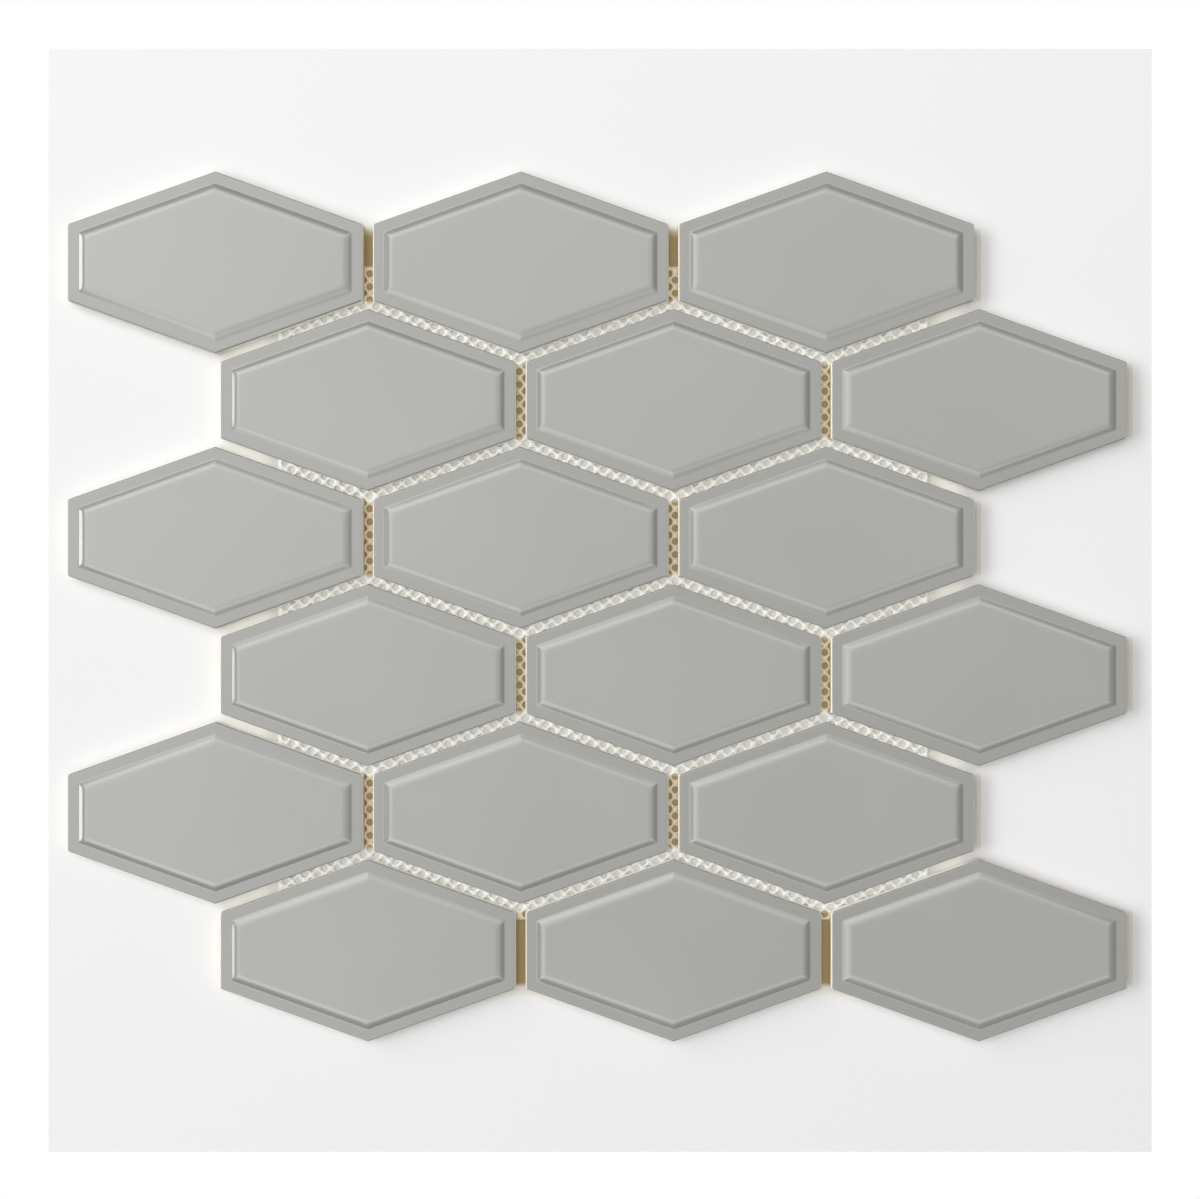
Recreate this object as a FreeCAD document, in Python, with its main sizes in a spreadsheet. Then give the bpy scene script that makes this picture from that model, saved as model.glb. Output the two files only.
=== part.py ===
import FreeCAD, Part
import math
import os
import Sketcher

# Mosaic sheet: glazed hexagon tiles, stretched along X, glued to one backing sheet.
# Millimetres. The origin lies under the middle of the tile field, on the face the sheet rests on.
# +X runs along the rows, +Y towards the top row, +Z out of the glazed faces.

# Driving dimensions: each one goes into the spreadsheet under its own name.
drivingSizes = {
    "columnPitch": 101.6,       # from one tile's middle to the next in a row
    "jointWidth": 3.175,        # open joint round every tile, for grout
    "sideHeight": 25.35,        # straight upright side of a tile, seen from above
    "slopeAngle": 19.7,         # degrees between a tile's slanting sides and the rows
    "rimThickness": 4.0,        # back to the flat rim
    "cornerRadius": 0.8,        # upright corners
    "edgeRadius": 0.6,          # outer edge of the glazed face
    "rimWidth": 3.9,            # flat rim, outer edge to the foot of the raised panel
    "flankTilt": 18.0,          # degrees that the panel's straight flank leans, off level
    "flankRise": 0.56,          # height of the straight flank
    "shoulderRadius": 4.9,      # arc from the flank over to the panel's level top
    "backingThickness": 0.5,
    "backingMarginLeft": 68.5,  # from the tile field's outer edge in to the backing's edge
    "backingMarginRight": 64.5,
    "backingMarginTop": 30.3,
    "backingMarginBottom": 39.7,
}

rowNames = ["row1", "row2", "row3", "row4", "row5", "row6"]    # from the top row down
columnNames = ["left", "middle", "right"]
rowShift = 0.25                 # rows stand a quarter pitch to the left and right, turn about
shoulderFacets = 2              # level bands that follow the shoulder's arc

tolerance = 1e-4

# Sizes that follow from the driving ones, as expressions on the spreadsheet.
slopeRise = "tan(Sizes.slopeAngle)"
slopeCosine = "cos(Sizes.slopeAngle)"
slopeSine = "sin(Sizes.slopeAngle)"
tileHalfWidth = "(Sizes.columnPitch - Sizes.jointWidth) / 2"
tilePeak = "(Sizes.sideHeight / 2 + " + tileHalfWidth + " * " + slopeRise + ")"
rowPitch = ("(Sizes.sideHeight + (Sizes.columnPitch / 2 - Sizes.jointWidth) * " + slopeRise
            + " + Sizes.jointWidth / " + slopeCosine + ")")
shoulderInset = "Sizes.rimWidth + Sizes.flankRise / tan(Sizes.flankTilt)"
shoulderLevel = "Sizes.rimThickness + Sizes.flankRise"


def makeSizes(doc):
    """Put the driving dimensions in a spreadsheet, one alias each."""
    sheet = doc.addObject("Spreadsheet::Sheet", "Sizes")
    for line, (name, value) in enumerate(drivingSizes.items(), start=1):
        sheet.set("A" + str(line), name)
        sheet.set("B" + str(line), str(value))
        sheet.setAlias("B" + str(line), name)
    doc.recompute()
    return sheet


def levelSketch(body, name, level):
    """An empty sketch in the body, over its XY plane at the height that level gives."""
    plane = [feature for feature in body.Origin.OriginFeatures if feature.Role == "XY_Plane"][0]
    sketch = body.newObject("Sketcher::SketchObject", name)
    sketch.AttachmentSupport = [(plane, "")]
    sketch.MapMode = "FlatFace"
    sketch.setExpression("AttachmentOffset.Base.z", level)
    return sketch


def addLoop(sketch, corners):
    """Closed loop of straight lines through the corners, joined end to start."""
    sides = len(corners)
    for side in range(sides):
        start = FreeCAD.Vector(*corners[side], 0)
        end = FreeCAD.Vector(*corners[(side + 1) % sides], 0)
        sketch.addGeometry(Part.LineSegment(start, end))
    for side in range(sides):
        sketch.addConstraint(Sketcher.Constraint("Coincident", side, 2, (side + 1) % sides, 1))


def bindDistance(sketch, kind, corner, start, name, expression):
    """Distance along X or Y between the sketch's origin and a corner, driven by an expression.

    The start value's sign says on which side of the origin the corner lies.
    """
    ends = (-1, 1, corner, 1) if start > 0 else (corner, 1, -1, 1)
    index = sketch.addConstraint(Sketcher.Constraint(kind, *ends, abs(start)))
    sketch.renameConstraint(index, name)
    sketch.setExpression("Constraints." + name, expression)


def hexagonSketch(body, name, inset, level):
    """The tile's outline with every side moved inwards by inset.

    Corner 0 stands at half width and half side, corner 1 is the peak on the Y axis, and the
    other corners mirror these two.
    """
    sketch = levelSketch(body, name, level)
    halfWidth, halfSide, peak = 45.0, 12.0, 28.0    # rough start, the constraints set the real size
    addLoop(sketch, [
        (halfWidth, halfSide), (0, peak), (-halfWidth, halfSide),
        (-halfWidth, -halfSide), (0, -peak), (halfWidth, -halfSide),
    ])
    xAxis, yAxis = -1, -2
    sketch.addConstraint(Sketcher.Constraint("PointOnObject", 1, 1, yAxis))
    sketch.addConstraint(Sketcher.Constraint("Symmetric", 1, 1, 4, 1, xAxis))
    sketch.addConstraint(Sketcher.Constraint("Symmetric", 0, 1, 2, 1, yAxis))
    sketch.addConstraint(Sketcher.Constraint("Symmetric", 0, 1, 5, 1, xAxis))
    sketch.addConstraint(Sketcher.Constraint("Symmetric", 5, 1, 3, 1, yAxis))
    bindDistance(sketch, "DistanceX", 0, halfWidth, "HalfWidth", tileHalfWidth + " - " + inset)
    bindDistance(sketch, "DistanceY", 0, halfSide, "HalfSide",
                 "Sizes.sideHeight / 2 - " + inset + " * (1 - " + slopeSine + ") / " + slopeCosine)
    bindDistance(sketch, "DistanceY", 1, peak, "Peak",
                 tilePeak + " - " + inset + " / " + slopeCosine)
    return sketch


def insetOf(sheet, point):
    """How far a point lies inside the tile's sharp outline, square to the nearest side."""
    slope = math.radians(sheet.slopeAngle)
    halfWidth = (sheet.columnPitch - sheet.jointWidth) / 2
    fromUpright = halfWidth - abs(point.x)
    fromSlant = ((sheet.sideHeight / 2 - abs(point.y)) * math.cos(slope)
                 + (halfWidth - abs(point.x)) * math.sin(slope))
    return min(fromUpright, fromSlant)


def edgesWhere(shape, wanted):
    """Names of the shape's edges for which wanted is true."""
    return ["Edge" + str(index) for index, edge in enumerate(shape.Edges, start=1) if wanted(edge)]


def isUpright(edge):
    """Whether an edge is straight and parallel to Z."""
    first, last = edge.Vertexes[0].Point, edge.Vertexes[-1].Point
    return math.hypot(first.x - last.x, first.y - last.y) < tolerance


def isLevelAt(edge, height):
    """Whether an edge lies in the level plane of that height."""
    box = edge.BoundBox
    return abs(box.ZMin - height) < tolerance and abs(box.ZMax - height) < tolerance


def loopEdges(shape, sheet, height, inset):
    """Names of the level edges that lie inside the tile's outline by that inset."""
    slack = sheet.cornerRadius / 2 + tolerance

    def wanted(edge):
        middle = edge.valueAt((edge.FirstParameter + edge.LastParameter) / 2)
        return isLevelAt(edge, height) and abs(insetOf(sheet, middle) - inset) < slack

    return edgesWhere(shape, wanted)


def addFillet(doc, body, name, base, edges, radius):
    """Round the named edges of a feature."""
    fillet = body.newObject("PartDesign::Fillet", name)
    fillet.Base = (base, edges)
    fillet.setExpression("Radius", radius)
    doc.recompute()
    return fillet


def addPanelBand(body, name, inset, level, rise, tilt):
    """One band of the raised panel: a hexagon pad whose sides lean by tilt, off level."""
    band = body.newObject("PartDesign::Pad", name)
    band.Profile = hexagonSketch(body, name + "Outline", "(" + inset + ")", level)
    band.setExpression("Length", rise)
    band.setExpression("TaperAngle", tilt + " - 90")
    return band


def shoulderAngle(facet):
    """Lean of the shoulder's arc where a facet starts: the flank's at first, level at the end."""
    return "(Sizes.flankTilt * " + str((shoulderFacets - facet) / shoulderFacets) + ")"


def addShoulderBand(body, facet):
    """The band between two points of the shoulder's arc, leaning by the mean of the two angles."""
    low, high = shoulderAngle(facet), shoulderAngle(facet + 1)
    inset = shoulderInset + " + Sizes.shoulderRadius * (sin(Sizes.flankTilt) - sin(" + low + "))"
    level = shoulderLevel + " + Sizes.shoulderRadius * (cos(" + low + ") - cos(Sizes.flankTilt))"
    rise = "Sizes.shoulderRadius * (cos(" + high + ") - cos(" + low + "))"
    return addPanelBand(body, "Shoulder", inset, level, rise, "(" + low + " + " + high + ") / 2")


def makeTile(doc, sheet, label, shiftX, rowsUp):
    """One pressed tile: hexagon block with a flat rim, a raised middle panel and softened edges."""
    body = doc.addObject("PartDesign::Body", label)
    body.Label = label

    block = body.newObject("PartDesign::Pad", "Block")
    block.Profile = hexagonSketch(body, "Outline", "0", "0")
    block.setExpression("Length", "Sizes.rimThickness")
    doc.recompute()
    upright = edgesWhere(block.Shape, isUpright)
    corners = addFillet(doc, body, "Corners", block, upright, "Sizes.cornerRadius")
    faceEdge = loopEdges(corners.Shape, sheet, sheet.rimThickness, 0)
    addFillet(doc, body, "FaceEdge", corners, faceEdge, "Sizes.edgeRadius")

    addPanelBand(body, "Flank", "Sizes.rimWidth", "Sizes.rimThickness", "Sizes.flankRise",
                 "Sizes.flankTilt")
    for facet in range(shoulderFacets):
        addShoulderBand(body, facet)

    body.setExpression("Placement.Base.x", "Sizes.columnPitch * " + str(shiftX))
    body.setExpression("Placement.Base.y", rowPitch + " * " + str(rowsUp))
    body.setExpression("Placement.Base.z", "Sizes.backingThickness")
    return body


def makeTiles(doc, sheet):
    """Every tile of the field: rows from the top down, columns from the left."""
    tiles = []
    for row, rowName in enumerate(rowNames):
        rowsUp = (len(rowNames) - 1) / 2 - row
        side = -rowShift if row % 2 == 0 else rowShift
        for column, columnName in enumerate(columnNames):
            shiftX = column - (len(columnNames) - 1) / 2 + side
            label = "tile_" + rowName + "_" + columnName
            tiles.append(makeTile(doc, sheet, label, shiftX, rowsUp))
    return tiles


def makeBacking(doc):
    """The backing sheet under the tiles, short of the tile field's edge by a margin on each side."""
    body = doc.addObject("PartDesign::Body", "backing_sheet")
    body.Label = "backing_sheet"
    sketch = levelSketch(body, "BackingOutline", "0")
    reach = 100.0                                   # rough start, as above
    addLoop(sketch, [(reach, reach), (-reach, reach), (-reach, -reach), (reach, -reach)])
    for side in (0, 2):
        sketch.addConstraint(Sketcher.Constraint("Horizontal", side))
    for side in (1, 3):
        sketch.addConstraint(Sketcher.Constraint("Vertical", side))
    pitches = len(columnNames) - 1 + 2 * rowShift
    fieldHalfWidth = tileHalfWidth + " + Sizes.columnPitch * " + str(pitches / 2)
    fieldHalfLength = tilePeak + " + " + rowPitch + " * " + str((len(rowNames) - 1) / 2)
    bindDistance(sketch, "DistanceX", 0, reach, "Right", fieldHalfWidth + " - Sizes.backingMarginRight")
    bindDistance(sketch, "DistanceY", 0, reach, "Top", fieldHalfLength + " - Sizes.backingMarginTop")
    bindDistance(sketch, "DistanceX", 2, -reach, "Left", fieldHalfWidth + " - Sizes.backingMarginLeft")
    bindDistance(sketch, "DistanceY", 2, -reach, "Bottom",
                 fieldHalfLength + " - Sizes.backingMarginBottom")
    pad = body.newObject("PartDesign::Pad", "Backing")
    pad.Profile = sketch
    pad.setExpression("Length", "Sizes.backingThickness")
    return body


def checkDocument(doc, pieces):
    """Stop before anything is written if a feature failed or a piece isn't one closed solid."""
    failed = [item.Name for item in doc.Objects if "Invalid" in item.State or "Error" in item.State]
    if failed:
        raise RuntimeError("features that failed: " + ", ".join(failed))
    for piece in pieces:
        shape = piece.Shape
        if shape.isNull() or not shape.isValid() or len(shape.Solids) != 1:
            raise RuntimeError("not one valid solid: " + piece.Label)


def main():
    """Make the document, check it and write one file for each piece."""
    doc = FreeCAD.newDocument("MosaicSheet")
    sheet = makeSizes(doc)
    pieces = makeTiles(doc, sheet)
    pieces.append(makeBacking(doc))
    doc.recompute()
    checkDocument(doc, pieces)
    os.makedirs("parts", exist_ok=True)
    for piece in pieces:
        piece.Shape.exportStep("parts/" + piece.Label + ".step")
        print(piece.Label, round(piece.Shape.Volume, 1), "mm3")


main()
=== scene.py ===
import math

import bpy
import numpy as np
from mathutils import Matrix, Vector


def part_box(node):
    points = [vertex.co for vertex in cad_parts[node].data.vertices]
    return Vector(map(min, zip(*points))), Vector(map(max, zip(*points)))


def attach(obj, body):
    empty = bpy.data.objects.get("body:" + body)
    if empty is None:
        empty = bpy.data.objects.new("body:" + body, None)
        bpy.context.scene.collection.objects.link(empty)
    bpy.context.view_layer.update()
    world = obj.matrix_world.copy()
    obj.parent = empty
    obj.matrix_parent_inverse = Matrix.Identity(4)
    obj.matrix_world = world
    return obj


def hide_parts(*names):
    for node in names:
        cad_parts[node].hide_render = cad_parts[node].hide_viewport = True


# A mosaic sheet seen from straight above: glazed hexagon tiles glued to a perforated backing.
# Lengths in the dictionaries are millimetres and angles degrees; the meshes are in metres.

mm = 0.001

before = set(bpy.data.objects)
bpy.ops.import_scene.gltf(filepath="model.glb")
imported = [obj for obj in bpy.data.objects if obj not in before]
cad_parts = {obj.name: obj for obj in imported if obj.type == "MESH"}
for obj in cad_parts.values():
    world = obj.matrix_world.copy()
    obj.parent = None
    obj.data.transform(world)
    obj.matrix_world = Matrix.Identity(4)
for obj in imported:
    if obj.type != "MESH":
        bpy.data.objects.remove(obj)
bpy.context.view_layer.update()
tileNames = sorted(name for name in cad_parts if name.startswith("tile_"))
tileMiddles = {name: np.mean(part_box(name), axis=0) for name in tileNames}
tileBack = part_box(tileNames[0])[0][2]
columnPitch = tileMiddles["tile_row1_middle"][0] - tileMiddles["tile_row1_left"][0]
rowPitch = tileMiddles["tile_row1_left"][1] - tileMiddles["tile_row2_left"][1]
print("frame loaded, tiles:", len(tileNames))


def makePiece(name, points, polygons, finishes, polygonFinish=None):
    # points: one row for each vertex, in metres; polygons: index arrays, one array for each
    # number of corners; finishes: materials, picked for each polygon by polygonFinish
    corners = np.concatenate([block.ravel() for block in polygons])
    sizes = np.concatenate([np.full(len(block), block.shape[1]) for block in polygons])
    used, corners = np.unique(corners, return_inverse=True)
    points = points[used]
    mesh = bpy.data.meshes.new(name)
    mesh.vertices.add(len(points))
    mesh.vertices.foreach_set("co", points.astype(np.float32).ravel())
    mesh.loops.add(len(corners))
    mesh.loops.foreach_set("vertex_index", corners.astype(np.int32).ravel())
    mesh.polygons.add(len(sizes))
    mesh.polygons.foreach_set("loop_start", (np.cumsum(sizes) - sizes).astype(np.int32))
    for finish in finishes:
        mesh.materials.append(finish)
    if polygonFinish is not None:
        mesh.polygons.foreach_set("material_index", polygonFinish.astype(np.int32))
    mesh.update(calc_edges=True)
    mesh.validate()
    piece = bpy.data.objects.new(name, mesh)
    bpy.context.scene.collection.objects.link(piece)
    return piece


def ringQuads(ringCount, ringSize):
    # quads between each ring and the next one, the last point of a ring joined to its first
    ring, place = np.meshgrid(np.arange(ringCount - 1), np.arange(ringSize), indexing="ij")
    after = (place + 1) % ringSize
    low, high = ring * ringSize, (ring + 1) * ringSize
    quads = np.stack([low + place, low + after, high + after, high + place], axis=-1)
    return quads.reshape(-1, 4)


def newMaterial(name):
    material = bpy.data.materials.new(name)
    material.use_nodes = True
    tree = material.node_tree
    shader = tree.nodes["Principled BSDF"]
    place = tree.nodes.new("ShaderNodeTexCoord").outputs["Object"]
    return material, tree, shader, place


def addNoise(tree, place, scale, detail=2.0):
    # scale in bumps a metre
    noise = tree.nodes.new("ShaderNodeTexNoise")
    noise.inputs["Scale"].default_value = scale
    noise.inputs["Detail"].default_value = detail
    tree.links.new(place, noise.inputs["Vector"])
    return noise.outputs["Fac"]


def addRange(tree, value, fromLow, fromHigh, toLow, toHigh, smooth=False):
    # value brought from one range to another, held at its ends
    mapRange = tree.nodes.new("ShaderNodeMapRange")
    if smooth:
        mapRange.interpolation_type = "SMOOTHSTEP"
    sockets = ("From Min", "From Max", "To Min", "To Max")
    for socket, number in zip(sockets, (fromLow, fromHigh, toLow, toHigh)):
        mapRange.inputs[socket].default_value = number
    tree.links.new(value, mapRange.inputs["Value"])
    return mapRange.outputs["Result"]


def addMath(tree, operation, first, second):
    node = tree.nodes.new("ShaderNodeMath")
    node.operation = operation
    for socket, value in zip(node.inputs, (first, second)):
        if isinstance(value, (int, float)):
            socket.default_value = value
        else:
            tree.links.new(value, socket)
    return node.outputs[0]


def addMix(tree, amount, first, second):
    # a colour between first and second
    mix = tree.nodes.new("ShaderNodeMix")
    mix.data_type = "RGBA"
    tree.links.new(amount, mix.inputs["Factor"])
    for socket, value in ((mix.inputs[6], first), (mix.inputs[7], second)):
        if isinstance(value, (tuple, list)):
            socket.default_value = (*value, 1.0)
        else:
            tree.links.new(value, socket)
    return mix.outputs[2]


def addPlaces(tree, place):
    separate = tree.nodes.new("ShaderNodeSeparateXYZ")
    tree.links.new(place, separate.inputs[0])
    return separate.outputs


def addCloud(tree, place, scale, spread, detail=2.0):
    # 0 to 1 in slow clouds, the part of the noise between the two values of spread
    return addRange(tree, addNoise(tree, place, scale, detail), *spread, 0.0, 1.0)


def addByHeight(tree, place, reach, lower, upper):
    # lower under the first height of reach, upper over the second, measured from the tiles' backs
    start, end = (tileBack + height * mm for height in reach)
    return addRange(tree, addPlaces(tree, place)[2], start, end, lower, upper)


def addNear(tree, distance, reach, soft):
    # 1 where a distance is under the reach, 0 beyond, over a soft step; both in millimetres
    start, end = (reach - soft / 2) * mm, (reach + soft / 2) * mm
    return addRange(tree, distance, start, end, 1.0, 0.0, smooth=True)


def addWithin(tree, values, reaches, soft):
    # for each value 1 within its reach and 0 outside, over a soft step; all in millimetres
    masks = []
    for value, (low, high) in zip(values, reaches):
        offset = addMath(tree, "SUBTRACT", value, (low + high) / 2 * mm)
        offset = addMath(tree, "ABSOLUTE", offset, 0.0)
        masks.append(addNear(tree, offset, (high - low) / 2, soft))
    return masks


def addUprightJoints(tree, place, reach, soft, halfLength, endSoft):
    # 1 in the upright joints: near in x to a line halfway between two tiles of the row, and near
    # in y to the row's middle; every other row's lines are moved along by half a pitch
    x, y = addPlaces(tree, place)[:2]
    fromRow = addMath(tree, "SUBTRACT", y, float(tileMiddles["tile_row6_left"][1]))
    row = addMath(tree, "ADD", addMath(tree, "DIVIDE", fromRow, float(rowPitch)), 0.5)
    row = addMath(tree, "FLOOR", row, 0.0)
    shift = addMath(tree, "MULTIPLY", addMath(tree, "MODULO", row, 2.0), float(columnPitch / 2))
    line = float(tileMiddles["tile_row6_left"][0] + columnPitch / 2)
    along = addMath(tree, "ADD", addMath(tree, "SUBTRACT", x, line), shift)
    acrossJoint = addMath(tree, "PINGPONG", along, float(columnPitch / 2))
    alongJoint = addMath(tree, "PINGPONG", fromRow, float(rowPitch / 2))
    return addMath(tree, "MULTIPLY", addNear(tree, acrossJoint, reach, soft),
                   addNear(tree, alongJoint, halfLength, endSoft))


def addBump(tree, shader, height, distance):
    # height 0 to 1 stands for that distance in millimetres
    bump = tree.nodes.new("ShaderNodeBump")
    bump.inputs["Distance"].default_value = distance * mm
    tree.links.new(height, bump.inputs["Height"])
    tree.links.new(bump.outputs["Normal"], shader.inputs["Normal"])


# Reaches in an upright joint are four lengths each: from the joint's middle line to its sides and
# how softly that ends, then half its length and how softly that ends.

glaze = {
    "colour": (0.318, 0.316, 0.293),
    "paler": (0.338, 0.335, 0.309),      # where the coat lies a little thicker
    "rimColour": (0.248, 0.246, 0.228),  # deeper on the flat rim
    "rimAmount": 0.6,
    "rimReach": (4.05, 4.50),            # heights over the tile's back between which it ends
    "paleEdgeAndHighlight": (0.86, 0.82, 0.70),    # pale cream on the upright edges: partly the glaze thinning so the fired body shows through, partly a painted highlight
    "edgeReach": (3.92, 3.99),           # heights over the tile's back between which the pale edge and its painted highlight end
    "edgeInJoint": (2.3, 0.4, 13.0, 2.0),
    "roughness": (0.16, 0.22),
    "coatRoughness": 0.10,
    "refraction": 1.60,
    "cloudScale": 14.0,                  # tone clouds, bumps a metre
    "cloudSpread": (0.35, 0.65),
    "rippleScale": 55.0,                 # slow unevenness of the fired surface
    "rippleDepth": 0.010,
    "speckScale": 2600.0,
    "speckSpread": (0.3, 0.7),
}


def makeGlaze():
    material, tree, shader, place = newMaterial("grey_glaze")
    cloud = addCloud(tree, place, glaze["cloudScale"], glaze["cloudSpread"])
    grey = addMix(tree, cloud, glaze["colour"], glaze["paler"])
    onRim = addByHeight(tree, place, glaze["rimReach"], glaze["rimAmount"], 0.0)
    grey = addMix(tree, onRim, grey, glaze["rimColour"])
    # pale edges in the upright joints: thin glaze over the fired body and a painted highlight
    paleEdgeAndGlint = addMath(tree, "MULTIPLY", addByHeight(tree, place, glaze["edgeReach"], 1.0, 0.0),
                   addUprightJoints(tree, place, *glaze["edgeInJoint"]))
    tree.links.new(addMix(tree, paleEdgeAndGlint, grey, glaze["paleEdgeAndHighlight"]), shader.inputs["Base Color"])
    speck = addNoise(tree, place, glaze["speckScale"], detail=1.0)
    gloss = addRange(tree, speck, *glaze["speckSpread"], *glaze["roughness"])
    tree.links.new(gloss, shader.inputs["Roughness"])
    shader.inputs["IOR"].default_value = glaze["refraction"]
    shader.inputs["Coat Weight"].default_value = 1.0
    shader.inputs["Coat IOR"].default_value = glaze["refraction"]
    shader.inputs["Coat Roughness"].default_value = glaze["coatRoughness"]
    addBump(tree, shader, addNoise(tree, place, glaze["rippleScale"]), glaze["rippleDepth"])
    return material


bisque = {
    "colour": (0.94, 0.93, 0.89),        # on the sides between tiles, painted paler than the fired body: painted light that brightens the joints
    "darker": (0.91, 0.895, 0.84),
    "outerColour": (0.74, 0.70, 0.61),   # the fired body's own cream, on the field's outer sides and on the backs
    "sideFrom": (0.02, 0.20),            # heights over the back between which the painted paler side begins
    "fieldReach": ((-123.0, 123.0), (-116.0, 116.0)),   # across and up, where sides face joints and are painted paler
    "fieldSoft": 4.0,
    "uprightJointShade": (0.74, 0.64, 0.42),   # painted shade in the upright joints, warm brown
    "uprightShadeReach": (2.0, 0.4, 12.4, 2.0),
    "roughness": 0.85,
    "cloudScale": 70.0,
    "cloudSpread": (0.3, 0.7),
    "grainScale": 1400.0,
    "grainDepth": 0.05,
}


def makeBisque():
    material, tree, shader, place = newMaterial("cream_bisque")
    cloud = addCloud(tree, place, bisque["cloudScale"], bisque["cloudSpread"], detail=4.0)
    cream = addMix(tree, cloud, bisque["colour"], bisque["darker"])
    # painted light: the sides that face joints are paler than the fired body's own cream
    inField = addWithin(tree, addPlaces(tree, place), bisque["fieldReach"], bisque["fieldSoft"])
    onSide = addByHeight(tree, place, bisque["sideFrom"], 0.0, 1.0)
    between = addMath(tree, "MULTIPLY", addMath(tree, "MULTIPLY", *inField), onSide)
    cream = addMix(tree, between, bisque["outerColour"], cream)
    # painted shade: the tiles' sides warm brown in the upright joints
    joint = addUprightJoints(tree, place, *bisque["uprightShadeReach"])
    cream = addMix(tree, joint, cream, bisque["uprightJointShade"])
    tree.links.new(cream, shader.inputs["Base Color"])
    shader.inputs["Roughness"].default_value = bisque["roughness"]
    grain = addNoise(tree, place, bisque["grainScale"], detail=3.0)
    addBump(tree, shader, grain, bisque["grainDepth"])
    return material


sheetFinish = {
    "colour": (0.965, 0.96, 0.935),
    "darker": (0.945, 0.935, 0.90),
    "uprightJointShade": (0.78, 0.66, 0.46),   # painted shade on the backing in the upright joints, warm brown
    "uprightShadeAmount": 0.75,
    "uprightShadeReach": (1.5, 1.2, 12.0, 2.0),
    "roughness": 0.45,
    "coatWeight": 0.7,                   # moulded, with a slight shine
    "coatRoughness": 0.35,
    "cloudScale": 90.0,
    "cloudSpread": (0.3, 0.7),
    "grainScale": 1800.0,
    "grainDepth": 0.02,
}


def makeSheetFinish():
    material, tree, shader, place = newMaterial("matt_white_backing")
    cloud = addCloud(tree, place, sheetFinish["cloudScale"], sheetFinish["cloudSpread"], detail=3.0)
    white = addMix(tree, cloud, sheetFinish["colour"], sheetFinish["darker"])
    # painted shade: the backing warm brown in the upright joints
    joint = addUprightJoints(tree, place, *sheetFinish["uprightShadeReach"])
    joint = addMath(tree, "MULTIPLY", joint, sheetFinish["uprightShadeAmount"])
    white = addMix(tree, joint, white, sheetFinish["uprightJointShade"])
    tree.links.new(white, shader.inputs["Base Color"])
    shader.inputs["Roughness"].default_value = sheetFinish["roughness"]
    shader.inputs["Coat Weight"].default_value = sheetFinish["coatWeight"]
    shader.inputs["Coat Roughness"].default_value = sheetFinish["coatRoughness"]
    grain = addNoise(tree, place, sheetFinish["grainScale"])
    addBump(tree, shader, grain, sheetFinish["grainDepth"])
    return material


greyGlaze, creamBisque, backingWhite = makeGlaze(), makeBisque(), makeSheetFinish()
print("finishes made")


tile = {
    "slopeAngle": 19.7,        # slanting sides, off the rows
    "cornerRadius": 0.4,       # upright corners
    "panelCornerRadius": 1.6,  # corners of the raised panel, seen from above
    "rimThickness": 4.0,
    "backChamfer": 0.3,
    "glazeLine": 3.45,         # height on the side where the glaze ends
    "edgeRadius": 0.5,         # outer edge of the glazed face
    "footInset": 3.5,          # where the rim starts to turn up
    "footRadius": 1.6,         # hollow turn at the panel's foot
    "flankTilt": 21.0,
    "shoulderRadius": 6.2,     # round turn from the flank to the level panel
    "cornerSteps": 6,
    "sideSteps": 8,
    "arcSteps": 7,
    "middleSteps": 4,          # steps from the last ring in to the middle of the panel and the back
    # further rings, which keep the shading of the flat faces even
    "backRings": (9.0, 0.4),   # inset, and inside the chamfer
    "sideRings": (0.3, 0.4),   # over the chamfer and under the glaze line
    "rimRings": (0.25, 0.2),   # inside the edge's arc and outside the foot
    "panelRings": (0.4, 2.0),  # inside the panel's start
}


def tileProfile(bottom, top):
    # inset from the upright side, height and corner radius, from the back over the side to the
    # panel: a chamfer, the side, a quarter arc, the rim, then a hollow arc of footRadius, a
    # straight lean of flankTilt and a round arc of shoulderRadius up to the top
    rim, glazeLine = bottom + tile["rimThickness"], bottom + tile["glazeLine"]
    lean = math.radians(tile["flankTilt"])
    quarter = np.linspace(0, math.pi / 2, tile["arcSteps"])
    turn = np.linspace(0, lean, tile["arcSteps"])
    chamfer, edge = tile["backChamfer"], tile["edgeRadius"]
    footStart, foot, shoulder = tile["footInset"], tile["footRadius"], tile["shoulderRadius"]
    straightRise = (top - rim) - (foot + shoulder) * (1 - math.cos(lean))
    flankEnd = footStart + foot * math.sin(lean) + straightRise / math.tan(lean)
    panelStart = flankEnd + shoulder * math.sin(lean)
    backInset, insideChamfer = tile["backRings"]
    overChamfer, underGlaze = tile["sideRings"]
    insideEdge, outsideFoot = tile["rimRings"]
    back = [backInset, chamfer + insideChamfer, chamfer]
    side = [bottom + chamfer, bottom + chamfer + overChamfer, glazeLine - underGlaze, glazeLine]
    inset = np.concatenate([
        back, np.zeros(len(side)), edge * (1 - np.cos(quarter)),
        [edge + insideEdge, footStart - outsideFoot], footStart + foot * np.sin(turn),
        panelStart - shoulder * np.sin(turn[::-1]), panelStart + np.array(tile["panelRings"]),
    ])
    height = np.concatenate([
        np.full(len(back), bottom), side, rim - edge + edge * np.sin(quarter), [rim, rim],
        rim + foot * (1 - np.cos(turn)), top - shoulder * (1 - np.cos(turn[::-1])),
        np.full(len(tile["panelRings"]), top),
    ])
    radius = np.interp(inset, [0, footStart, panelStart],
                       [tile["cornerRadius"], tile["cornerRadius"], tile["panelCornerRadius"]])
    glazeRing = len(back) + len(side) - 1
    return inset, height, radius, glazeRing


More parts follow.
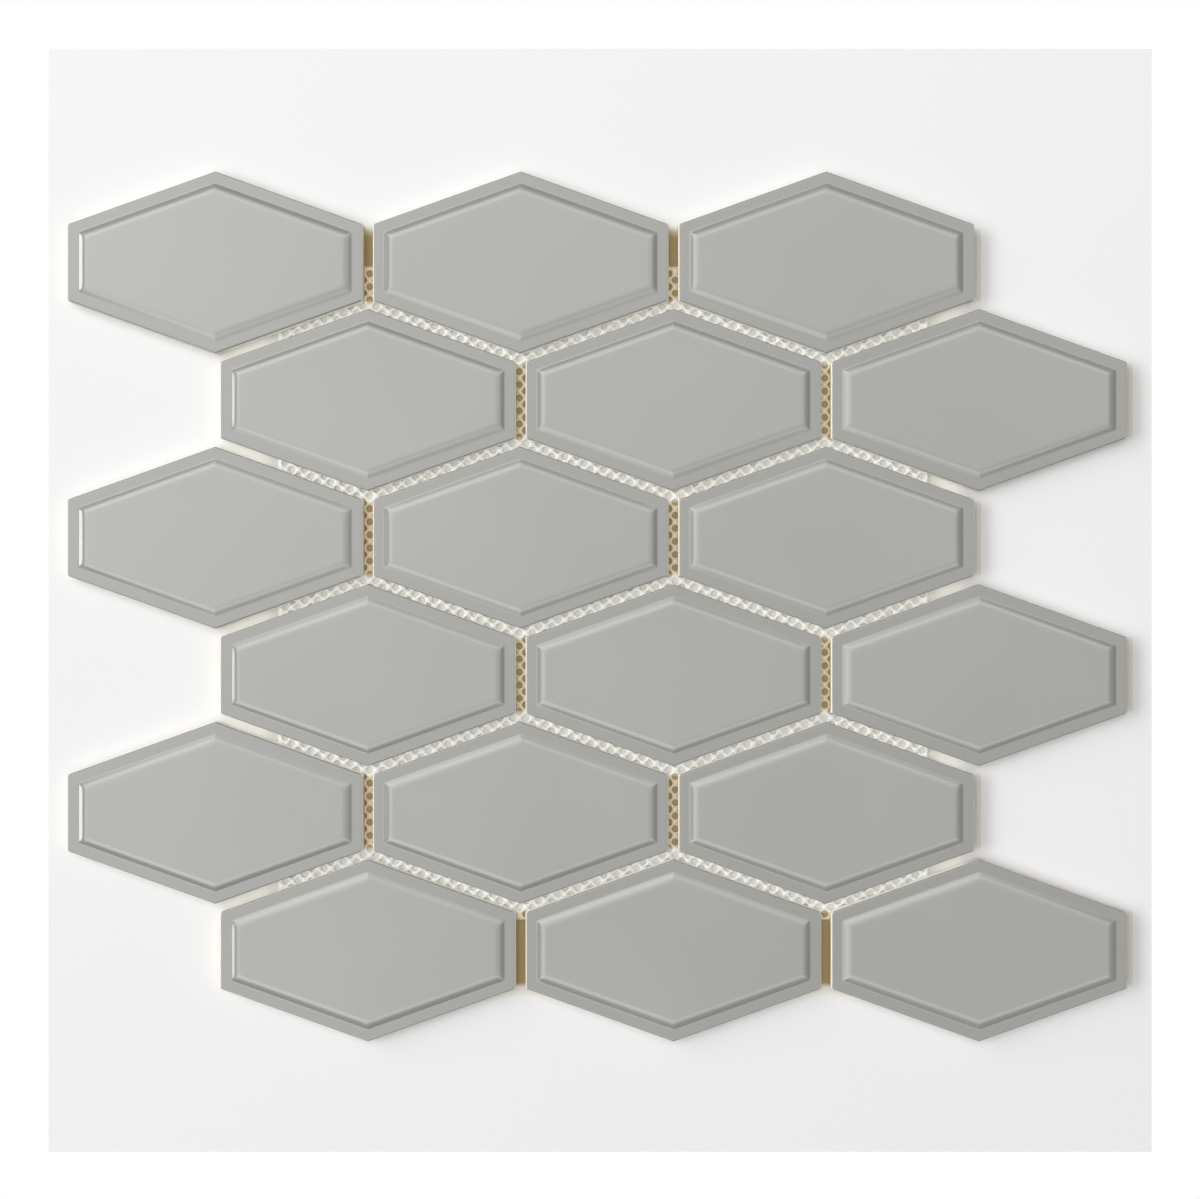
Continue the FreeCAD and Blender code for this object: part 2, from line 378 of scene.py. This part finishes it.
def hexagonRings(halfWidth, peak, inset, radius):
    # one ring for each inset: six lines at their distance from the middle less the inset, each
    # corner an arc of that ring's radius round the crossing of the two lines moved in by the radius
    slope = math.radians(tile["slopeAngle"])
    facing = np.array([0, math.pi / 2 - slope, math.pi / 2 + slope, math.pi,
                       1.5 * math.pi - slope, 1.5 * math.pi + slope])
    reach = np.tile([halfWidth, peak * math.cos(slope), peak * math.cos(slope)], 2)
    nextFacing = np.roll(facing, -1) + np.array([0, 0, 0, 0, 0, 2 * math.pi])
    lines = np.stack([np.stack([np.cos(facing), np.sin(facing)], -1),
                      np.stack([np.cos(nextFacing), np.sin(nextFacing)], -1)], axis=1)
    distance = np.stack([reach, np.roll(reach, -1)], -1)[None] - (inset + radius)[:, None, None]
    centre = np.einsum("kab,rkb->rka", np.linalg.inv(lines), distance)
    part = np.linspace(0, 1, tile["cornerSteps"])
    angle = facing[:, None] + (nextFacing - facing)[:, None] * part[None]
    arc = np.stack([np.cos(angle), np.sin(angle)], -1)[None] * radius[:, None, None, None]
    arc = arc + centre[:, :, None, :]
    along = (np.arange(1, tile["sideSteps"] + 1) / (tile["sideSteps"] + 1))[None, None, :, None]
    start, end = arc[:, :, -1:, :], np.roll(arc, -1, axis=1)[:, :, :1, :]
    side = start + (end - start) * along
    return np.concatenate([arc, side], axis=2).reshape(len(inset), -1, 2)


def makeTile(name):
    # the profile carried round the hexagon, the first and last ring scaled in to the middle
    low, high = (np.array(corner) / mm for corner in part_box(name))
    middle, halfSize = (low + high) / 2, (high - low) / 2
    slope = math.radians(tile["slopeAngle"])
    peak = halfSize[1] + tile["cornerRadius"] * (1 / math.cos(slope) - 1)
    inset, height, radius, glazeRing = tileProfile(low[2], high[2])
    rings = hexagonRings(halfSize[0], peak, inset, radius)
    shrink = np.arange(1, tile["middleSteps"]) / tile["middleSteps"]
    flat = np.concatenate([rings[:1] * shrink[:, None, None], rings,
                           rings[-1:] * shrink[::-1, None, None]])
    level = np.concatenate([np.full(len(shrink), height[0]), height,
                            np.full(len(shrink), height[-1])])
    ringCount, ringSize = flat.shape[:2]
    level = np.broadcast_to(level[:, None, None], (ringCount, ringSize, 1))
    points = np.concatenate([flat + middle[:2], level], axis=-1).reshape(-1, 3)
    points = np.concatenate([points, [[*middle[:2], low[2]], [*middle[:2], high[2]]]]) * mm
    place = np.arange(ringSize)
    after = (place + 1) % ringSize
    backMiddle, faceMiddle = len(points) - 2, len(points) - 1
    lastRing = (ringCount - 1) * ringSize
    fans = np.concatenate([
        np.stack([np.full(ringSize, backMiddle), after, place], -1),
        np.stack([np.full(ringSize, faceMiddle), lastRing + place, lastRing + after], -1),
    ])
    bareQuads = np.repeat(np.arange(ringCount - 1) < len(shrink) + glazeRing, ringSize)
    bare = np.concatenate([bareQuads, np.repeat([True, False], ringSize)]).astype(int)
    polygons = [ringQuads(ringCount, ringSize), fans]
    piece = makePiece(name + "_glazed", points, polygons, [greyGlaze, creamBisque], bare)
    piece.data.shade_smooth()
    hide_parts(name)
    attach(piece, "root")


for name in tileNames:
    makeTile(name)
print("tiles made")


backing = {
    "inset": ((0.92, 0.13), (-0.88, -0.66)),   # of its lower left and upper right corner
    "pitches": 50,             # hole pitches along each side of the sheet
    "start": 0.05,             # first row of holes, pitches in from the sheet's corner
    "holeRadius": 1.165,
    "holeSides": 8,            # the triangles below are laid out for eight
}


def backingHoles(low, high):
    # two square grids of holes, half a pitch apart both ways, each hole a ring of corners with the
    # round hole's area; the second grid's first and last rows are cut in half by the sheet's edges
    count, start, sides = backing["pitches"], backing["start"], backing["holeSides"]
    pitchX, pitchY = (high[:2] - low[:2]) / count
    corner = 2 * math.pi / sides
    reach = backing["holeRadius"] * math.sqrt(corner / math.sin(corner))
    angle = np.arange(sides) * corner
    spokes = np.stack([np.cos(angle), np.sin(angle)], -1) * reach
    middleX = low[0] + (np.arange(1, count) + start) * pitchX
    middleY = low[1] + (np.arange(count) + 0.5 - start) * pitchY
    middles = np.stack(np.meshgrid(middleX, middleY, indexing="ij"), -1)[:, :, None, :] + spokes
    crossX = low[0] + (np.arange(count) + 0.5 + start) * pitchX
    crossY = low[1] + (np.arange(count + 1) - start) * pitchY
    crossY[0], crossY[-1] = low[1], high[1]
    crosses = np.stack(np.meshgrid(crossX, crossY, indexing="ij"), -1)[:, :, None, :] + spokes
    for edge, diagonals in ((0, (1, 3)), (-1, (5, 7))):
        onEdge = np.stack([crossX, np.full(count, crossY[edge])], -1)
        crosses[:, edge, diagonals, :] = onEdge[:, None, :]
    leftEdge = np.stack([np.full(count + 1, low[0]), crossY], -1)
    rightEdge = np.stack([np.full(count + 1, high[0]), crossY], -1)
    return middles, crosses, leftEdge, rightEdge


def cellTriangles(middleIndex, crossIndex):
    # a cell has one hole of the first grid in its middle and a quarter hole of the second in each
    # corner: twelve outer corners, against the clock from its lower left hole, and in each quarter
    # turn k the outer corners 3k to 3k + 3 face the middle hole's corners 5 + 2k to 7 + 2k
    lowerLeft, lowerRight = crossIndex[:-1, :-1], crossIndex[1:, :-1]
    upperLeft, upperRight = crossIndex[:-1, 1:], crossIndex[1:, 1:]
    outer = np.stack([lowerLeft[..., 1], lowerLeft[..., 0], lowerRight[..., 4],
                      lowerRight[..., 3], lowerRight[..., 2], upperRight[..., 6],
                      upperRight[..., 5], upperRight[..., 4], upperLeft[..., 0],
                      upperLeft[..., 7], upperLeft[..., 6], lowerLeft[..., 2]], -1)
    triangles = []
    for turn in range(4):
        a, b, c, d = (outer[..., (3 * turn + step) % 12] for step in range(4))
        p, q, r = (middleIndex[..., (5 + 2 * turn + step) % 8] for step in range(3))
        triangles += [(a, b, p), (b, q, p), (b, c, q), (c, r, q), (c, d, r)]
    return [np.stack(corners, -1).reshape(-1, 3) for corners in triangles]


def edgeTriangles(crossIndex, leftIndex, rightIndex):
    # strips between the outermost columns of holes and the sheet's left and right edges; low and
    # high are the corners of one hole of the column and of the next one up
    low, high = crossIndex[0, :-1].T, crossIndex[0, 1:].T
    a, b = leftIndex[:-1], leftIndex[1:]
    triangles = [(a, low[4], low[3]), (a, low[3], b), (low[3], high[5], b),
                 (low[3], low[2], high[5]), (low[2], high[6], high[5]), (high[5], high[4], b)]
    low, high = crossIndex[-1, :-1].T, crossIndex[-1, 1:].T
    a, b = rightIndex[:-1], rightIndex[1:]
    triangles += [(a, low[1], low[0]), (a, b, low[1]), (low[1], b, high[7]),
                  (low[1], high[7], low[2]), (low[2], high[7], high[6]), (high[7], b, high[0])]
    return [np.stack(corners, -1) for corners in triangles]


def backingPlan(low, high):
    # the sheet seen from above: its points, the triangles between the holes, the whole holes as
    # rings of corners, and the outline against the clock
    parts = backingHoles(low, high)
    flat = np.concatenate([part.reshape(-1, 2) for part in parts])
    starts = np.cumsum([0] + [part.size // 2 for part in parts])
    middleIndex, crossIndex, leftIndex, rightIndex = (
        start + np.arange(part.size // 2).reshape(part.shape[:-1])
        for start, part in zip(starts, parts))
    crossIndex[:, 0, 3] = crossIndex[:, 0, 1]
    crossIndex[:, -1, 7] = crossIndex[:, -1, 5]
    face = np.concatenate(cellTriangles(middleIndex, crossIndex)
                          + edgeTriangles(crossIndex, leftIndex, rightIndex))
    holes = np.concatenate([middleIndex.reshape(-1, backing["holeSides"]),
                            crossIndex[:, 1:-1].reshape(-1, backing["holeSides"])])
    bottomRun = crossIndex[:, 0, [4, 1, 0]].ravel()
    topRun = crossIndex[:, -1, [4, 5, 0]].ravel()
    outline = np.concatenate([leftIndex[:1], bottomRun, rightIndex, topRun[::-1],
                              leftIndex[::-1][:-1]])
    return flat, face, holes, outline


def makeBacking():
    # the plan set at both heights, the lower one turned over, and a wall round each ring
    low, high = (np.array(corner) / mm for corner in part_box("backing_sheet"))
    low[:2] += backing["inset"][0]
    high[:2] += backing["inset"][1]
    flat, face, holes, outline = backingPlan(low, high)
    count = len(flat)
    upper = np.concatenate([flat, np.full((count, 1), high[2])], -1)
    lower = np.concatenate([flat, np.full((count, 1), low[2])], -1)
    start, end = holes, np.roll(holes, -1, axis=1)
    holeWalls = np.stack([start, end, end + count, start + count], -1).reshape(-1, 4)
    start, end = outline, np.roll(outline, -1)
    outerWalls = np.stack([end, start, start + count, end + count], -1)
    polygons = [np.concatenate([face, face[:, ::-1] + count]),
                np.concatenate([holeWalls, outerWalls])]
    points = np.concatenate([upper, lower]) * mm
    piece = makePiece("perforated_backing", points, polygons, [backingWhite])
    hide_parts("backing_sheet")
    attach(piece, "root")


makeBacking()
print("backing made")


board = {
    "middle": (1.0, 2.0),                # the pale board that the sheet lies on
    "reach": 184.8,
    "drop": 0.02,                        # under the sheet
    "colour": (0.895, 0.895, 0.895),     # at its upper left corner, the light end of a painted fall-off of the light
    "darker": (0.80, 0.79, 0.795),       # at its lower right corner, the dark end of the painted fall-off
    "shadeUnderSheet": (0.78, 0.765, 0.71),   # painted shade below the sheet, seen in the slanting joints
    "shadeInUprightJoints": (0.42, 0.33, 0.18),    # painted shade below the sheet in the upright joints, deep warm brown
    "uprightShadeReach": (3.0, 1.0, 12.4, 2.0),
    "sheetReach": ((-110.0, 114.0), (-130.0, 126.0)),   # across and up, where the painted shade below the sheet lies
    "lightAtJointEnds": (0.95, 0.93, 0.87),     # painted light: paler and warmer between tiles, past the sheet's left and right edges
    "endReach": ((-123.0, 122.0), (-130.0, 126.0)),
    "reachSoft": 6.0,
    "shadowBesideRows": (0.50, 0.49, 0.42),   # painted shadow on the board beside the upright sides that end the rows on the right
    "shadowBesideFrom": (-50.0, 50.0),         # from left to right, between which the painted shadow sets in
    "besideBands": (                     # how much painted shadow, and where: a wide band and a narrow one
        (0.35, (4.5, 9.0, 12.4, 6.0)),
        (0.50, (1.7, 0.6, 12.4, 2.0)),
    ),
}


def makeBoard():
    # a level square under the sheet, painted darker towards its lower right as a fall-off of the
    # light, with painted shade below the sheet and in its upright joints, a painted shadow beside
    # the rows' right ends and painted light in the joints past the sheet's left and right edges
    reach, (middleX, middleY) = board["reach"], board["middle"]
    corners = np.array([[-1, -1], [1, -1], [1, 1], [-1, 1]]) * reach + [middleX, middleY]
    points = np.concatenate([corners, np.full((4, 1), -board["drop"])], axis=1) * mm
    material, tree, shader, place = newMaterial("pale_board")
    x, y = addPlaces(tree, place)[:2]
    # painted fall-off of the light: darker from the upper left to the lower right
    slant = addMath(tree, "SUBTRACT", x, y)
    slant = addRange(tree, slant, -2 * reach * mm, 2 * reach * mm, 0.0, 1.0)
    colour = addMix(tree, slant, board["colour"], board["darker"])
    within = addWithin(tree, (x, y), board["sheetReach"], board["reachSoft"])
    # painted shadow beside the upright sides that end the rows on the right
    start, end = (edge * mm for edge in board["shadowBesideFrom"])
    onRight = addMath(tree, "MULTIPLY", within[1], addRange(tree, x, start, end, 0.0, 1.0))
    for amount, band in board["besideBands"]:
        beside = addMath(tree, "MULTIPLY", addUprightJoints(tree, place, *band), onRight)
        beside = addMath(tree, "MULTIPLY", beside, amount)
        colour = addMix(tree, beside, colour, board["shadowBesideRows"])
    # painted light in the joints past the sheet's left and right edges
    ends = addWithin(tree, (x, y), board["endReach"], board["reachSoft"])
    colour = addMix(tree, addMath(tree, "MULTIPLY", *ends), colour, board["lightAtJointEnds"])
    # painted shade below the sheet, deeper and browner in the upright joints
    joint = addUprightJoints(tree, place, *board["uprightShadeReach"])
    under = addMix(tree, joint, board["shadeUnderSheet"], board["shadeInUprightJoints"])
    colour = addMix(tree, addMath(tree, "MULTIPLY", *within), colour, under)
    tree.links.new(colour, shader.inputs["Base Color"])
    shader.inputs["Roughness"].default_value = 1.0
    shader.inputs["Specular IOR Level"].default_value = 0.0
    piece = makePiece("board", points, [np.array([[0, 1, 2, 3]])], [material])


light = {
    "dome": 0.12,
    # each soft box: lean of its middle to the left and to the top of the picture, half sizes
    # across and up, softness of its edge (degrees), strength at its lower right, and the gains:
    # how much stronger its left and its top are
    "boxes": {
        "overhead": (1.5, 1.0, 32.5, 41.0, 9.0, 0.665, (1.65, 0.65)),
        "upper": (0.0, 24.0, 28.0, 7.0, 8.0, 0.65, (0.0, 0.0)),
        "lower": (0.0, -25.5, 28.0, 7.0, 8.0, 0.80, (0.0, 0.0)),
        "left": (59.2, 3.0, 8.0, 19.0, 5.0, 5.2, (0.0, 0.0)),
        "low": (66.0, 55.0, 17.0, 20.0, 8.0, 3.1, (0.0, 0.0)),
    },
    "unmirrored": "low",                 # lights and shades, but isn't mirrored in the glaze
    "acrossRamp": (15.0, -25.0),         # degrees from a box's middle between which a gain sets in
    "upRamp": (-15.0, 15.0),
    "facing": (0.0, 0.01),               # part of a direction towards a box, where it sets in
    "leastDepth": 0.001,                 # keeps the division finite for directions away from it
}


def addDot(tree, direction, vector):
    dot = tree.nodes.new("ShaderNodeVectorMath")
    dot.operation = "DOT_PRODUCT"
    tree.links.new(direction, dot.inputs[0])
    dot.inputs[1].default_value = tuple(vector)
    return dot.outputs["Value"]


def slopeOf(angle):
    return math.tan(math.radians(angle))


def addBox(tree, direction, left, upward, halfAcross, halfUp, soft, strength, gains):
    # a rectangular box seen from the middle of the sheet: the direction's parts along the box's
    # own two axes over its part towards the box give a place on it, and a smooth step ends it
    middle = np.array([-slopeOf(left), slopeOf(upward), 1.0])
    middle /= np.linalg.norm(middle)
    across = np.cross([0.0, 1.0, 0.0], middle)
    across /= np.linalg.norm(across)
    upAxis = np.cross(middle, across)
    towards = addDot(tree, direction, middle)
    depth = addMath(tree, "MAXIMUM", towards, light["leastDepth"])
    amount = addRange(tree, towards, *light["facing"], 0.0, strength)
    places = []
    for axis, half in ((across, halfAcross), (upAxis, halfUp)):
        place = addMath(tree, "DIVIDE", addDot(tree, direction, axis), depth)
        places.append(place)
        start, end = slopeOf(half + soft / 2), slopeOf(half - soft / 2)
        offset = addMath(tree, "ABSOLUTE", place, 0.0)
        edge = addRange(tree, offset, start, end, 0.0, 1.0, smooth=True)
        amount = addMath(tree, "MULTIPLY", amount, edge)
    gain = 1.0
    for place, most, ramp in zip(places, gains, (light["acrossRamp"], light["upRamp"])):
        if most:
            start, end = (slopeOf(angle) for angle in ramp)
            stronger = addRange(tree, place, start, end, 0.0, most, smooth=True)
            gain = addMath(tree, "ADD", stronger, gain)
    return addMath(tree, "MULTIPLY", amount, gain)


def makeWorld():
    # a dim dome and the soft boxes; camera rays see plain white
    world = bpy.data.worlds.new("studio")
    world.use_nodes = True
    bpy.context.scene.world = world
    tree = world.node_tree
    background = tree.nodes["Background"]
    direction = tree.nodes.new("ShaderNodeTexCoord").outputs["Generated"]
    lightPath = tree.nodes.new("ShaderNodeLightPath")
    matt = addMath(tree, "SUBTRACT", 1.0, lightPath.outputs["Is Glossy Ray"])
    total = light["dome"]
    for name, box in light["boxes"].items():
        amount = addBox(tree, direction, *box)
        if name == light["unmirrored"]:
            amount = addMath(tree, "MULTIPLY", amount, matt)
        total = addMath(tree, "ADD", total, amount)
    unseen = addMath(tree, "SUBTRACT", 1.0, lightPath.outputs["Is Camera Ray"])
    total = addMath(tree, "MULTIPLY", total, unseen)
    strength = addMath(tree, "ADD", total, lightPath.outputs["Is Camera Ray"])
    tree.links.new(strength, background.inputs["Strength"])
    background.inputs["Color"].default_value = (1.0, 1.0, 1.0, 1.0)


view = {
    "centre": (0.95, 2.3),     # the point of the sheet right under the camera
    "height": 554.0,           # above the tiles' rim
    "lens": 50.0,
    "sensor": 36.0,
}


def makeCamera():
    camera = bpy.data.cameras.new("camera")
    camera.lens, camera.sensor_width = view["lens"], view["sensor"]
    seen = bpy.data.objects.new("camera", camera)
    rim = tileBack / mm + tile["rimThickness"]
    seen.location = (view["centre"][0] * mm, view["centre"][1] * mm, (rim + view["height"]) * mm)
    bpy.context.scene.collection.objects.link(seen)
    bpy.context.scene.camera = seen


makeBoard()
makeWorld()
makeCamera()
bpy.context.scene.view_settings.view_transform = "Standard"
print("board, light and camera made")
